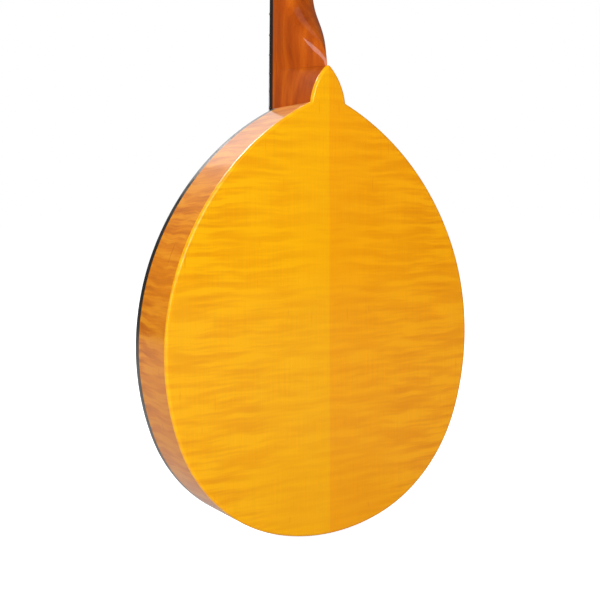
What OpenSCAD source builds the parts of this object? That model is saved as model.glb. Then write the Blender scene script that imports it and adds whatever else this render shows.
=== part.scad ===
// Flat-backed, teardrop-shaped bouzouki with four pairs of strings.
//
// Frame: the origin is at the middle of the nut's front edge, in the plane where
// the fingerboard is glued on, which is also the outer face of the soundboard.
// +Z runs up the neck to the headstock, -Y is the front, +X is the treble side.
// Plan shapes are drawn as [across, up the neck] and then given a depth in Y.

/* [Body] */
// Length of the body from the tail to the neck joint
body_len = 420; // [340:1:510]
// Greatest width of the body
body_w = 348; // [285:1:420]
// Outside depth of the body, soundboard and back included
body_depth = 66.5; // [50:0.5:90]
// Height of the widest place above the tail
widest_z = 187; // [170:1:210]
// Radius of the tail curve
tail_r = 200; // [190:1:230]
// Half angle that the tail curve sweeps
tail_sweep = 17; // [12:1:20]
// Radius of the hip curve between tail and side
hip_r = 156; // [125:1:160]
// Angle above the widest place where the side turns into the shoulder curve
side_sweep = 25; // [18:1:30]
// Thickness of the soundboard
soundboard_t = 3; // [2.2:0.1:4]
// Thickness of the back
back_t = 3.5; // [2.5:0.1:5]
// Thickness of the sides
side_t = 2.4; // [2:0.1:3.5]
// Thickness of the black edge binding
binding_t = 1.6; // [1:0.1:1.8]
// Height of the binding along the rim
binding_h = 8; // [5:0.5:12]

/* [Sound hole] */
// Radius of the sound hole
hole_r = 40; // [30:1:46]
// Gap between the end of the fingerboard and the sound hole
hole_gap = 11; // [10:1:20]
// Width of the wood left between the hole and the rosette
rosette_margin = 4; // [3:0.5:6]
// Width of the rosette ring
rosette_w = 8; // [4:0.5:10]
// Depth of the rosette inlay
rosette_t = 1.2; // [0.8:0.1:1.6]

/* [Inside the body] */
// Width of the glued linings
lining_w = 6; // [4:0.5:9]
// Height of the glued linings
lining_h = 10; // [8:0.5:14]
// Width of the braces
brace_w = 8; // [5:0.5:12]
// Height of the braces
brace_h = 12; // [8:0.5:16]
// Width of the neck block
neck_block_w = 66; // [56:1:90]
// Length of the neck block
neck_block_len = 46; // [36:1:60]
// Width of the tail block
tail_block_w = 60; // [50:1:90]
// Thickness of the tail block
tail_block_t = 22; // [16:1:34]
// Width of the strip glued along the back seam
strip_w = 18; // [12:1:24]
// Thickness of that strip
strip_t = 2.5; // [1.5:0.5:4]

/* [Neck] */
// Sounding length of the strings, from nut to saddle
scale_len = 650; // [600:1:690]
// Fret at which the neck meets the body
joint_fret = 15; // [14:1:16]
// Number of frets
fret_count = 21; // [19:1:22]
// Width of the neck at the nut
nut_w = 36; // [32:1:42]
// Width of the neck where it meets the body
joint_w = 46; // [42:1:52]
// Depth of the neck under the fingerboard, at the nut
neck_t = 15; // [12:0.5:19]
// Depth of the neck under the fingerboard, at the heel
neck_t_heel = 17; // [14:0.5:22]
// Half width of the heel and the button at the back
heel_half_w = 19.5; // [17:0.5:20.5]
// Length of the button that covers the heel
button_len = 35; // [28:1:44]
// Radius of the button's tip
button_tip_r = 3.5; // [2.5:0.5:6]
// How far above the button the heel has run out into the neck
heel_sweep = 80; // [60:1:110]
// Thickness of the fingerboard
fingerboard_t = 6.5; // [5:0.1:8]
// Thickness of the nut along the neck
nut_t = 5; // [4:0.5:6]
// Width of the tenon that holds the neck in its block
tenon_w = 20; // [14:1:26]
// Length of the tenon
tenon_len = 16; // [12:1:24]
// Width of the truss rod
rod_w = 6; // [5:0.5:8]
// Depth of the truss rod
rod_t = 9; // [8:0.5:10]

/* [Headstock] */
// Length of the headstock
head_len = 182; // [175:1:210]
// Width of the headstock
head_w = 76; // [74:1:86]
// Thickness of the headstock
head_t = 15; // [13:0.5:18]
// Backward tilt of the headstock in degrees
head_tilt = 12; // [8:1:14]
// Thickness of the headstock's dark veneer
veneer_t = 2; // [1:0.5:3]
// Radius of the curve at the top of the headstock
crown_r = 160; // [150:5:400]

/* [Tuners] */
// Distance from the nut to the first string post
first_post = 38; // [36:1:42]
// Distance between neighbouring string posts
post_pitch = 37; // [33:1:37.5]
// Distance of the posts from the centre line
post_x = 24; // [22.5:0.5:25]
// Radius of a string post
post_r = 3; // [2.5:0.1:3.3]
// Height of the posts above the veneer
post_h = 12; // [10:0.5:16]
// Teeth on a tuner gear, which is also turns of the button for one of the post
gear_teeth = 15; // [12:1:16]
// Size of a gear tooth: pitch diameter divided by the number of teeth
tooth_module = 0.7; // [0.6:0.05:0.75]
// Thickness of a gear
gear_t = 3; // [2:0.5:3.5]
// Pitch radius of a worm
worm_r = 2.75; // [2.6:0.05:3]
// Radius of a worm's shaft
shaft_r = 1.75; // [1.5:0.05:1.85]
// Thickness of the tuner plates
plate_t = 1.2; // [1:0.1:2]
// Width of a tuner button
button_w = 17; // [13:0.5:19]
// Length of a tuner button along its shaft
button_l = 14; // [12:0.5:20]
// Thickness of a tuner button
button_t = 7; // [6:0.5:10]

/* [Strings and fittings] */
// Gap between the two strings of a pair at the nut
pair_gap_nut = 2.6; // [2:0.1:3]
// Gap between the two strings of a pair at the saddle
pair_gap_saddle = 3.4; // [2.5:0.1:4]
// Distance between neighbouring pairs at the nut
course_gap_nut = 9; // [8:0.1:9.5]
// Distance between neighbouring pairs at the saddle
course_gap_saddle = 15.6; // [13:0.1:17]
// Height of the strings above the fingerboard at the nut
string_h_nut = 1.9; // [1.6:0.1:2.2]
// Height of the strings above the soundboard at the saddle
string_h_saddle = 13; // [12:0.1:18]
// Width of the bridge
bridge_w = 132; // [110:1:160]
// Thickness of the bridge along the strings
bridge_t = 10; // [7:0.5:14]
// Length of the tailpiece
tailpiece_len = 94; // [70:1:110]
// Width of the tailpiece at its strings
tailpiece_w = 64; // [58:1:70]
// Radius of the end pin's shank
pin_r = 3.5; // [3:0.1:4.5]

/* [Hidden] */
$fn = 96;
running_gap = 0.05;          // radial play of a shaft in its bearing
fit_gap = 0.02;              // play of a piece pressed or glued into another
waist_inset = 0.3;           // from the neck's flanks to the start of the headstock
neck_sink = 0.5;             // depth of the neck's end under the headstock's faces
glue_line = 0.02;            // between the two halves of the top, the back and the sides
big = 400;                   // larger than any half of the body
arc_step = 3;                // degrees between the points of an arc
arch_root = 8;               // how far below the neck joint the button is widest
string_radii = [0.14, 0.2, 0.3, 0.45];    // from the treble pair to the bass pair

// Squareness of a section of the neck: 1 is a pointed V and 2 an ellipse
heel_squareness = 1.15;
neck_squareness = 2.3;
nut_squareness = 3;
socket_squareness = 5;
heel_turn = 50;                           // length in which the heel's V turns into the neck's round
heel_steps = 8;
flank_steps = 10;
nut_blend = 30;                           // length below the nut in which the neck turns square
socket_z = 8;                             // how far the neck's round runs into the headstock
ridge_half_w = 0.3;                       // keeps the two flanks apart along the neck's ridge

board_tail = 4;                           // length of the fingerboard beyond the last fret

joint_z = -fret_drop(joint_fret);
tail_z = joint_z - body_len;
board_end_z = -fret_drop(fret_count) - board_tail;
hole_z = board_end_z - hole_gap - hole_r;
rosette_r = hole_r + rosette_margin;
rim_top = soundboard_t;
rim_back = body_depth - back_t;

pitch_r = gear_teeth * tooth_module / 2;
gear_r = pitch_r + tooth_module;
gear_root_r = pitch_r - 1.2 * tooth_module;
gear_drop = pitch_r + worm_r;             // from a post down to its worm
tip_gap = 0.15;                           // between a gear's teeth and its worm's core
end_gap = 0.1;                            // play of a worm along its shaft, at each end
worm_core_r = gear_drop - gear_r - tip_gap;
thread_half = gear_r + end_gap;           // half length of the worm's threaded part
collar_t = 1;
collar_r = shaft_r + 1.15;
bracket_t = 1.5;
bracket_half = 3.4;                       // half width of a bracket along the headstock
bracket_x = thread_half + collar_t + end_gap; // inner face of a bracket, from the post
plate_back = head_t + plate_t;
worm_y = plate_back + worm_r + 2 * tooth_module - 0.55;
gear_y = worm_y - gear_t / 2;
gear_bore_r = 2.4;
rivet_r = 1;                              // of the pin that holds a gear on its post
rivet_len = 7;
rivet_head_t = 1.2;
plate_margin = 1;                         // of a tuner plate beside its brackets
plate_inner_x = post_x - bracket_x - bracket_t - plate_margin;
plate_outer_x = post_x + bracket_x + bracket_t + plate_margin;
plate_low = first_post - gear_drop - 8;
plate_high = first_post + 3 * post_pitch + 14;
button_x = head_w / 2 + 5.5;              // inner end of a tuner button's neck
button_grip = 7;                          // length of a shaft inside its button
button_neck = 3;                          // from there to the button's broad part
button_corner_r = 5;
bushing_r = post_r + 1;
post_hole_r = post_r + 0.4;               // through the wood of the headstock
string_hole_r = 0.7;
slot_w = 0.6;                             // of a screwdriver slot
slot_t = 0.6;
bushing_depth = 8;
bushing_flange_r = bushing_r + 1.3;
bushing_flange_t = 1;
screw_r = 1.3;
screw_head_r = 2.4;
screw_head_t = 1.4;
screw_len = 9;
plate_screws = [plate_low + 4, first_post + post_pitch / 2, first_post + 1.5 * post_pitch,
                first_post + 2.5 * post_pitch, plate_high - 5];

fret_w = 2.2;
fret_h = 1.1;
tang_w = 0.6;
tang_t = 2.5;
saddle_t = 3;
saddle_w = 3 * course_gap_saddle + pair_gap_saddle + 6;
bridge_h = string_h_saddle - 3;
tailpiece_t = 1.5;
tailpiece_gap = 0.8;                      // between the tailpiece and the soundboard
lip_h = 5;
flange_t = 2;                             // room for the tailpiece's foot under the tail
flange_gap = 0.2;                         // between that foot and the sides
flange_margin = 12;                       // of that foot beyond the end pin
pin_head_r = 6;                           // of the two discs that a strap sits between
pin_waist_r = 4;
string_h_tail = tailpiece_gap + tailpiece_t + 2.4;
lip_strip = 12;                           // length of the tailpiece's full width
tailpiece_foot_w = 34;
ball_r = 1.5;                             // the barrel on the end of a string
ball_w = 2.6;
winding_h = 4;                            // height of a string above the veneer at its post
turns = 4;
wing_h = 4;                               // height of the bridge's two wings
wing_slope = 12;                          // length of the slope from the wings up to the saddle
bridge_arch_r = 40;
bridge_arch_h = 4;
saddle_sunk = 2.7;                        // depth of the saddle in the bridge
saddle_proud = 0.2;                       // of the saddle beside the strings in their slots
nut_flat = 0.8;
rod_nut_r = 4.2;
rod_nut_len = 10;
rod_key_r = 2.3;
rod_key_t = 6;
rod_end_gap = 12;                         // from the truss rod to the nut, and past its block
tenon_front = 2;                          // from the truss rod's channel to the tenon
tenon_back = 6;                           // from the tenon to the back
brace_gap = 16;                           // from the sound hole to the brace above it
brace_below = 20;                         // and to the brace below it
bridge_brace_gap = 22;                    // from the saddle to the brace below it
tail_brace_gap = 62;                      // from the tail to the lowest brace
dot_r = 3;
dot_t = 1.2;
dot_frets = [5, 7, 10, 15, 17, 19];

// ---- Sizes that follow a rule ----

// Distance from the nut to a fret of the equal-tempered scale
function fret_drop(n) = scale_len * (1 - pow(2, -n / 12));

// Width of the neck and fingerboard at a height
function neck_w(z) = nut_w + (joint_w - nut_w) * z / joint_z;

// Direction at an angle
function dir(a) = [cos(a), sin(a)];
function bearing(v) = atan2(v[1], v[0]);
function unit(v) = v / norm(v);

// ---- Outline of the body: four arcs a side, each tangent to the next ----

tail_centre = [0, tail_r];
hip_centre = tail_centre + (tail_r - hip_r) * dir(tail_sweep - 90);
hip_out = body_w / 2 - hip_centre[0];
hip_up = widest_z - hip_centre[1];
side_r = (hip_out * hip_out + hip_up * hip_up - hip_r * hip_r) / (2 * (hip_out - hip_r));
side_centre = [body_w / 2 - side_r, widest_z];
side_low = bearing(hip_centre - side_centre);
shoulder = [heel_half_w, body_len];
to_shoulder = shoulder - side_centre;
shoulder_shift = (side_r * side_r - to_shoulder * to_shoulder)
    / (2 * (to_shoulder * dir(side_sweep) - side_r));
shoulder_r = shoulder_shift + side_r;
shoulder_centre = side_centre - shoulder_shift * dir(side_sweep);

// Points along an arc between two angles
function arc(centre, r, from, to) =
    let (steps = ceil(abs(to - from) / arc_step))
    [for (i = [0:steps]) centre + r * dir(from + (to - from) * i / steps)];

// The same without its first point, to carry on from another arc
function next_arc(centre, r, from, to) =
    let (points = arc(centre, r, from, to))
    [for (i = [1:len(points) - 1]) points[i]];

// Right-hand half of a symmetric shape, followed by its mirror image going back
function both_sides(points) = concat(points,
    [for (i = [len(points) - 1:-1:0]) if (points[i][0] > 0.001) [-points[i][0], points[i][1]]]);

// Treble side of the outline, moved inwards by inset, from the tail up to the neck joint
function rim_points(inset) =
    let (shoulder_end = asin((body_len - shoulder_centre[1]) / (shoulder_r - inset)))
    concat(
        arc(tail_centre, tail_r - inset, -90, tail_sweep - 90),
        next_arc(hip_centre, hip_r - inset, tail_sweep - 90, side_low),
        next_arc(side_centre, side_r - inset, side_low, side_sweep),
        next_arc(shoulder_centre, shoulder_r - inset, side_sweep, shoulder_end));

module outline(inset = 0) {
    translate([0, tail_z]) polygon(both_sides(rim_points(inset)));
}

// Keeps the treble half of a plan shape, up to the glue line in the middle
module treble_half() {
    intersection() {
        children();
        translate([glue_line / 2, -3 * big]) square([big, 4 * big]);
    }
}

module half_outline(inset = 0) {
    treble_half() outline(inset);
}

// ---- Button: a pointed arch on the neck joint, with two flanks and a round tip ----

// The flanks are widest at arch_root below the joint, and heel_half_w apart from the
// middle at the joint, which gives their radius as the root of a quadratic.
button_rise = button_len - button_tip_r + arch_root;
button_k = pow(heel_half_w, 2) + pow(button_rise, 2) - pow(arch_root, 2) - pow(button_tip_r, 2);
button_spare = pow(heel_half_w, 2) - pow(button_tip_r, 2);
button_flank_r = (button_k * button_tip_r
    + sqrt(pow(button_k * button_tip_r, 2)
        + button_spare * (pow(button_k, 2) + 4 * pow(heel_half_w * arch_root, 2))))
    / (2 * button_spare);
button_flank = [heel_half_w - sqrt(pow(button_flank_r, 2) - pow(arch_root, 2)), -arch_root];
button_tip = [0, button_len - button_tip_r];
button_lean = bearing(button_tip - button_flank);
button_tip_start = button_flank[1] + button_flank_r * sin(button_lean);

// Half width of the button at a height above the neck joint
function button_half_w(h) = h > button_len ? 0
    : h > button_tip_start ? sqrt(max(0, pow(button_tip_r, 2) - pow(h - button_tip[1], 2)))
    : button_flank[0] + sqrt(pow(button_flank_r, 2) - pow(h - button_flank[1], 2));

module button_plan() {
    translate([0, joint_z]) polygon(both_sides(concat(
        arc(button_flank, button_flank_r, 0, button_lean),
        next_arc(button_tip, button_tip_r, button_lean, 90))));
}

// Skin through a list of closed sections that all have the same number of points,
// which run counter-clockwise seen from the last section
module loft(sections) {
    n = len(sections[0]);
    last = len(sections) - 1;
    walls = [for (i = [0:last - 1], j = [0:n - 1])
        let (a = i * n + j, b = i * n + (j + 1) % n)
        each [[a, b + n, b], [a, a + n, b + n]]];
    polyhedron([for (s = sections) each s],
        concat([[for (j = [0:n - 1]) j]], walls, [[for (j = [n - 1:-1:0]) last * n + j]]));
}

// Gives a plan shape a thickness in Y, starting at depth y
module plank(y, t) {
    translate([0, y + t, 0]) rotate([90, 0, 0]) linear_extrude(t) children();
}

// A block centred across X, from y to y + t and from z to z + h
module block(w, y, t, z, h) {
    translate([-w / 2, y, z]) cube([w, t, h]);
}

// ---- The box of the body ----

module back_plan() {
    treble_half() {
        outline();
        button_plan();
    }
}

module back_treble_half() {
    color("goldenrod") plank(rim_back, back_t) back_plan();
}

module back_bass_half() {
    color("gold") plank(rim_back, back_t) mirror([1, 0]) back_plan();
}

module pin_bore(r) {
    translate([0, body_depth / 2, tail_z - 20]) cylinder(h = 80, r = r);
}

module side_half() {
    difference() {
        plank(rim_top, rim_back - rim_top) difference() {
            half_outline();
            half_outline(side_t);
        }
        plank(0, binding_h) difference() {
            outline(-1);
            outline(binding_t);
        }
        pin_bore(pin_r + fit_gap);
    }
}

module side_treble() {
    color("peru") side_half();
}

module side_bass() {
    color("peru") mirror([1, 0, 0]) side_half();
}

module top_binding() {
    color("black") for (m = [0, 1]) mirror([m, 0, 0]) plank(0, binding_h) difference() {
        half_outline();
        half_outline(binding_t);
    }
}

module soundboard() {
    color("wheat") for (m = [0, 1]) mirror([m, 0, 0]) difference() {
        plank(0, soundboard_t) difference() {
            half_outline(binding_t);
            translate([0, hole_z]) circle(hole_r);
        }
        plank(-1, rosette_t + 1) translate([0, hole_z]) difference() {
            circle(rosette_r + rosette_w);
            circle(rosette_r);
        }
    }
}

module rosette() {
    color("saddlebrown") plank(0, rosette_t) translate([0, hole_z]) difference() {
        circle(rosette_r + rosette_w - fit_gap);
        circle(rosette_r + fit_gap);
    }
}

// Brace heights up the neck axis, worked out from the pieces that they support
lowest_brace_z = tail_z + tail_brace_gap;
top_brace_zs = [hole_z + hole_r + brace_gap, hole_z - hole_r - brace_below,
                -scale_len - bridge_brace_gap];
back_brace_zs = [for (i = [0:3])
    lowest_brace_z + i * (hole_z + hole_r + brace_w - lowest_brace_z) / 3];

// Braces against the plate whose inner face is at y, growing by h
module brace_bars(zs, y) {
    intersection() {
        plank(y, brace_h) outline(side_t + lining_w + fit_gap);
        for (z = zs) block(2 * big, y, brace_h, z - brace_w / 2, brace_w);
    }
}

module soundboard_braces() {
    color("burlywood") difference() {
        brace_bars(top_brace_zs, rim_top);
        rod_space(fit_gap);
    }
}

module back_braces() {
    color("burlywood") brace_bars(back_brace_zs, rim_back - brace_h);
}

module back_seam_strip() {
    color("tan") difference() {
        block(strip_w, rim_back - strip_t, strip_t, tail_z + side_t + tail_block_t,
              body_len - side_t - tail_block_t - neck_block_len);
        for (z = back_brace_zs)
            block(strip_w + 2, rim_back - strip_t - 1, strip_t + 2, z - brace_w / 2, brace_w);
    }
}

module linings() {
    color("tan") for (m = [0, 1]) mirror([m, 0, 0]) for (y = [rim_top, rim_back - lining_h])
        difference() {
            plank(y, lining_h) difference() {
                half_outline(side_t);
                half_outline(side_t + lining_w);
            }
            block(neck_block_w, y - 1, lining_h + 2, joint_z - neck_block_len, 2 * neck_block_len);
            block(tail_block_w, y - 1, lining_h + 2, tail_z - 1, side_t + tail_block_t + 1);
        }
}

module neck_block() {
    color("sienna") difference() {
        intersection() {
            plank(rim_top, rim_back - rim_top) outline(side_t);
            block(neck_block_w, 0, body_depth, joint_z - neck_block_len, neck_block_len);
        }
        tenon(fit_gap);
        rod_space(fit_gap);
    }
}

module tail_block() {
    color("sienna") difference() {
        intersection() {
            plank(rim_top, rim_back - rim_top) outline(side_t);
            block(tail_block_w, 0, body_depth, tail_z, side_t + tail_block_t);
        }
        pin_bore(pin_r + fit_gap);
    }
}

// ---- Neck ----

// Tenon on the end of the neck, made larger all round by gap
module tenon(gap = 0) {
    block(tenon_w + 2 * gap, rod_t + tenon_front - gap,
          rim_back - rod_t - tenon_front - tenon_back + 2 * gap,
          joint_z - tenon_len - gap, tenon_len + 1 + gap);
}

rod_low = joint_z - neck_block_len - rod_end_gap;
rod_high = -rod_end_gap;

// Channel of the truss rod and the clear space round its adjusting nut
module rod_space(gap) {
    key_room = 30;
    block(rod_w + 2 * gap, -1, rod_t + 1 + gap, rod_low, rod_high + gap - rod_low);
    block(2 * rod_nut_r + 1, -1, soundboard_t + 2 * rod_nut_r + 2, rod_low - key_room,
          key_room + rod_end_gap);
}

module truss_rod() {
    color("dimgray") {
        difference() {
            block(rod_w, 0, rod_t, rod_low + rod_nut_len, rod_high - rod_low - rod_nut_len);
            plank(-1, soundboard_t + 1 + fit_gap) outline();
        }
        difference() {
            translate([0, soundboard_t + fit_gap + rod_nut_r, rod_low])
                cylinder(h = rod_nut_len, r = rod_nut_r);
            translate([0, soundboard_t + fit_gap + rod_nut_r, rod_low - 1])
                cylinder(h = rod_key_t + 1, r = rod_key_r, $fn = 6);
        }
    }
}

// Eases from 0 to 1 as a length runs out
function ease(length, whole) = let (t = min(max(length / whole, 0), 1)) t * t * (3 - 2 * t);

// Depth of the neck alone, and with its heel, at a height above the neck joint
function shaft_t(h) = neck_t_heel + (neck_t - neck_t_heel) * max(h, 0) / -joint_z;
function neck_depth(h) =
    let (t = shaft_t(h))
    t + (rim_back - t) * (1 - ease(h - button_len, heel_sweep));

// Points down one flank of a section, from the front to a flat of half width flat_w at the back
function flank(half_w, depth, squareness, flat_w = 0) = [for (i = [0:flank_steps])
    let (a = 90 * i / flank_steps)
    [max(flat_w + (half_w - flat_w) * pow(cos(a), 2 / squareness), ridge_half_w),
     depth * pow(sin(a), 2 / squareness)]];
function neck_flank(h) = flank(
    neck_w(min(joint_z + h, 0)) / 2,
    neck_depth(h),
    heel_squareness + (neck_squareness - heel_squareness) * ease(h - button_len, heel_turn),
    button_half_w(h));

// A closed section in a plane through front, a place [y, z], leaning back by tilt
function section(flank, front, tilt = 0) = let (n = len(flank) - 1) concat(
    [for (p = flank) [p[0], front[0] + p[1] * cos(tilt), front[1] - p[1] * sin(tilt)]],
    [for (i = [n:-1:0]) let (p = flank[i])
        [-p[0], front[0] + p[1] * cos(tilt), front[1] - p[1] * sin(tilt)]]);

// The heel and the neck up to the headstock, where the section turns square and leans back
module neck_bar() {
    blend_start = -joint_z - nut_blend;
    sweep_end = button_len + heel_sweep;
    heights = concat(
        [-arch_root],
        [for (i = [0:heel_steps]) button_len * i / heel_steps],
        [for (i = [1:heel_steps]) button_len + heel_sweep * i / heel_steps],
        [for (i = [1:3]) sweep_end + (blend_start - sweep_end) * i / 3]);
    socket = headstock_point(0, neck_sink, socket_z);
    loft(concat(
        [for (h = heights) section(neck_flank(h), [0, joint_z + h])],
        [section(flank(nut_w / 2, neck_t, nut_squareness), [0, nut_t], head_tilt / 2),
         section(flank(nut_w / 2, head_t - 2 * neck_sink, socket_squareness),
                 [socket[1], socket[2]], head_tilt)]));
}

// Moves its children from headstock coordinates to the instrument's: z runs up the
// headstock from the back of the nut, and y = 0 is the face under the veneer.
module on_headstock() {
    translate([0, 0, nut_t]) rotate([-head_tilt, 0, 0]) children();
}

function headstock_point(x, y, z) = [
    x,
    y * cos(head_tilt) + z * sin(head_tilt),
    nut_t - y * sin(head_tilt) + z * cos(head_tilt)];

module headstock_plan() {
    flare_r = (head_w - nut_w) / 2 + waist_inset;
    difference() {
        intersection() {
            translate([-head_w / 2, 0]) square([head_w, head_len]);
            translate([0, head_len - crown_r]) circle(crown_r);
        }
        for (s = [-1, 1]) translate([s * head_w / 2, 0]) circle(flare_r);
    }
}

module neck() {
    color("sienna") difference() {
        union() {
            difference() {
                neck_bar();
                plank(-1, body_depth + 2) outline();
            }
            on_headstock() plank(0, head_t) headstock_plan();
            tenon();
        }
        rod_space(fit_gap);
        on_headstock() {
            post_bores();
            plate_screw_set(screw_r);
        }
    }
}

module fingerboard_plan() {
    polygon([
        [-neck_w(board_end_z) / 2, board_end_z], [neck_w(board_end_z) / 2, board_end_z],
        [nut_w / 2, 0], [-nut_w / 2, 0]]);
}

module fingerboard() {
    color("black") difference() {
        plank(-fingerboard_t, fingerboard_t) fingerboard_plan();
        for (n = [1:fret_count])
            block(2 * joint_w, -fingerboard_t - 1, tang_t + 1, -fret_drop(n) - tang_w / 2, tang_w);
        dots(fit_gap);
    }
}

module frets() {
    color("silver") intersection() {
        plank(-2 * fingerboard_t, 2 * fingerboard_t) fingerboard_plan();
        for (n = [1:fret_count]) translate([0, -fingerboard_t, -fret_drop(n)]) {
            block(2 * joint_w, 0, tang_t, -tang_w / 2, tang_w);
            intersection() {
                translate([-joint_w, fret_w / 2 - fret_h, 0]) rotate([0, 90, 0])
                    cylinder(h = 2 * joint_w, r = fret_w / 2);
                block(3 * joint_w, -fret_h - 1, fret_h + 1, -fret_w, 2 * fret_w);
            }
        }
    }
}

// Place between two frets
function between_frets(n) = -(fret_drop(n) + fret_drop(n - 1)) / 2;

module dots(gap) {
    for (n = dot_frets)
        translate([0, dot_t - fingerboard_t, between_frets(n)]) rotate([90, 0, 0])
            cylinder(h = dot_t, r = dot_r + gap);
    for (s = [-1, 1])
        translate([s * nut_w / 4, dot_t - fingerboard_t, between_frets(12)]) rotate([90, 0, 0])
            cylinder(h = dot_t, r = dot_r + gap);
}

module position_dots() {
    color("ivory") dots(0);
}

module nut() {
    top = fingerboard_t + string_h_nut;
    color("ivory") difference() {
        translate([nut_w / 2, 0, 0]) rotate([0, -90, 0]) linear_extrude(nut_w)
            polygon([[0, 0], [nut_t, 0], [nut_t, -top + nut_t * tan(head_tilt)],
                     [nut_flat, -top], [0, -top]]);
        for (k = [1:8]) string_slot(k, 2, 3, nut_t + 2);
    }
}

module headstock_veneer() {
    color("black") on_headstock() difference() {
        plank(-veneer_t, veneer_t) headstock_plan();
        post_bores();
    }
}

// ---- Strings ----

// Tuners and strings 1 to 4 are on the treble side and 5 to 8 on the bass side,
// each four counted from the nut up the headstock and from the outside in.
function side_of(k) = k <= 4 ? 1 : -1;
function place_of(k) = (k - 1) % 4;
function post_z(k) = first_post + place_of(k) * post_pitch;

// Pair of a string, from 0 at the middle of the neck to 1 at its edge
function is_outer_pair(k) = place_of(k) < 2 ? 1 : 0;
function string_r(k) = string_radii[side_of(k) > 0 ? 1 - is_outer_pair(k) : 2 + is_outer_pair(k)];

function string_x(k, course_gap, pair_gap) = side_of(k)
    * (course_gap * (is_outer_pair(k) + 0.5) + pair_gap * (place_of(k) % 2 == 0 ? 0.5 : -0.5));

lip_z = tail_z + tailpiece_len;
function winding_r(k) = post_r + string_r(k) + 0.03;

// The string's own line: ball end, saddle, nut and the side of its post
function string_route(k) = [
    [string_x(k, course_gap_saddle, pair_gap_saddle), -string_h_tail, lip_z - tailpiece_t - ball_r],
    [string_x(k, course_gap_saddle, pair_gap_saddle), -string_h_saddle, -scale_len],
    [string_x(k, course_gap_nut, pair_gap_nut), -fingerboard_t - string_h_nut, 0],
    headstock_point(side_of(k) * (post_x - winding_r(k)), -veneer_t - winding_h, post_z(k))];

tube_sides = 8;

// Cuts the slot in which a string lies, along its line from one route point towards another
module string_slot(k, from, to, len) {
    r = string_r(k) + running_gap;
    start = string_route(k)[from];
    along = unit(string_route(k)[to] - start);
    tilt = acos(along[2]);
    axis = cross([0, 0, 1], along);
    translate(start) rotate(a = tilt, v = axis) translate([-r, -5, -0.5]) cube([2 * r, 5 + r, len + 0.5]);
}

// One ring of points round the route's point i
function tube_ring(route, i, r) =
    let (before = route[max(i - 1, 0)],
         after = route[min(i + 1, len(route) - 1)],
         along = unit(unit(after - route[i] + [0, 0, 1e-9]) + unit(route[i] - before + [0, 0, 1e-9])),
         across = unit(cross(along, [1, 0, 0])),
         other = cross(along, across))
    [for (j = [0:tube_sides - 1])
        route[i] + r * (cos(360 * j / tube_sides) * across + sin(360 * j / tube_sides) * other)];

module strings() {
    color("silver") for (k = [1:8]) {
        route = string_route(k);
        loft([for (i = [0:len(route) - 1]) tube_ring(route, i, string_r(k))]);
        translate(route[0]) x_bar(-ball_w / 2, ball_w, ball_r - 0.1);
    }
}

// ---- Bridge and tailpiece ----

module bridge() {
    crown_w = saddle_w + 8;
    color("sienna") difference() {
        translate([0, 0, -scale_len - bridge_t / 2]) linear_extrude(bridge_t) difference() {
            polygon([
                [-bridge_w / 2, 0], [bridge_w / 2, 0], [bridge_w / 2, -wing_h],
                [crown_w / 2 + wing_slope, -wing_h], [crown_w / 2, -bridge_h],
                [-crown_w / 2, -bridge_h], [-crown_w / 2 - wing_slope, -wing_h],
                [-bridge_w / 2, -wing_h]]);
            translate([0, bridge_arch_r - bridge_arch_h]) circle(bridge_arch_r);
        }
        saddle_bar(fit_gap);
    }
}

module saddle_bar(gap) {
    block(saddle_w + 2 * gap, -string_h_saddle - saddle_proud,
          string_h_saddle + saddle_proud - bridge_h + saddle_sunk + gap,
          -scale_len - saddle_t / 2 - gap, saddle_t + 2 * gap);
}

module saddle() {
    color("ivory") difference() {
        saddle_bar(0);
        for (k = [1:8], to = [0, 2]) string_slot(k, 1, to, saddle_t);
    }
}

module tailpiece_plan() {
    polygon([
        [-tailpiece_foot_w / 2, tail_z - flange_t], [tailpiece_foot_w / 2, tail_z - flange_t],
        [tailpiece_w / 2, lip_z - lip_strip], [tailpiece_w / 2, lip_z],
        [-tailpiece_w / 2, lip_z], [-tailpiece_w / 2, lip_z - lip_strip]]);
}

module tailpiece() {
    flange_len = body_depth / 2 + flange_margin;
    top = tailpiece_gap + tailpiece_t;
    color("silver") difference() {
        intersection() {
            union() {
                block(2 * tailpiece_w, -top, tailpiece_t, tail_z - flange_t,
                      tailpiece_len + flange_t);
                block(2 * tailpiece_w, -top - lip_h, lip_h + 0.5, lip_z - tailpiece_t, tailpiece_t);
                block(2 * tailpiece_w, -top, flange_len + top, tail_z - flange_t,
                      flange_t - flange_gap);
            }
            plank(-body_depth, 3 * body_depth) tailpiece_plan();
        }
        pin_bore(pin_r + fit_gap);
        for (k = [1:8]) translate([string_route(k)[0][0], -string_h_tail, lip_z - 5])
            cylinder(h = 10, r = 1);
    }
}

module end_pin() {
    head_z = tail_z - flange_t;
    color("black") translate([0, body_depth / 2, 0]) {
        translate([0, 0, head_z - 0.01]) cylinder(h = side_t + tail_block_t - 2, r = pin_r);
        translate([0, 0, head_z]) rotate([180, 0, 0]) rotate_extrude()
            polygon([
                [0, 0], [pin_head_r, 0], [pin_head_r, 1], [pin_waist_r, 2], [pin_waist_r, 4],
                [pin_head_r, 5], [pin_head_r, 5.8], [pin_waist_r, 6.6], [0, 6.6]]);
    }
}

// ---- Tuners ----

// Places its children at a tuner's post, with +X pointing away from the centre line
module at_post(k) {
    on_headstock() translate([side_of(k) * post_x, 0, post_z(k)])
        mirror([side_of(k) > 0 ? 0 : 1, 0, 0]) children();
}

// A round bar along Y from y to y + h
module y_bar(y, h, r) {
    translate([0, y + h, 0]) rotate([90, 0, 0]) cylinder(h = h, r = r);
}

// A round bar along X from x to x + h
module x_bar(x, h, r) {
    translate([x, 0, 0]) rotate([0, 90, 0]) cylinder(h = h, r = r);
}

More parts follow.
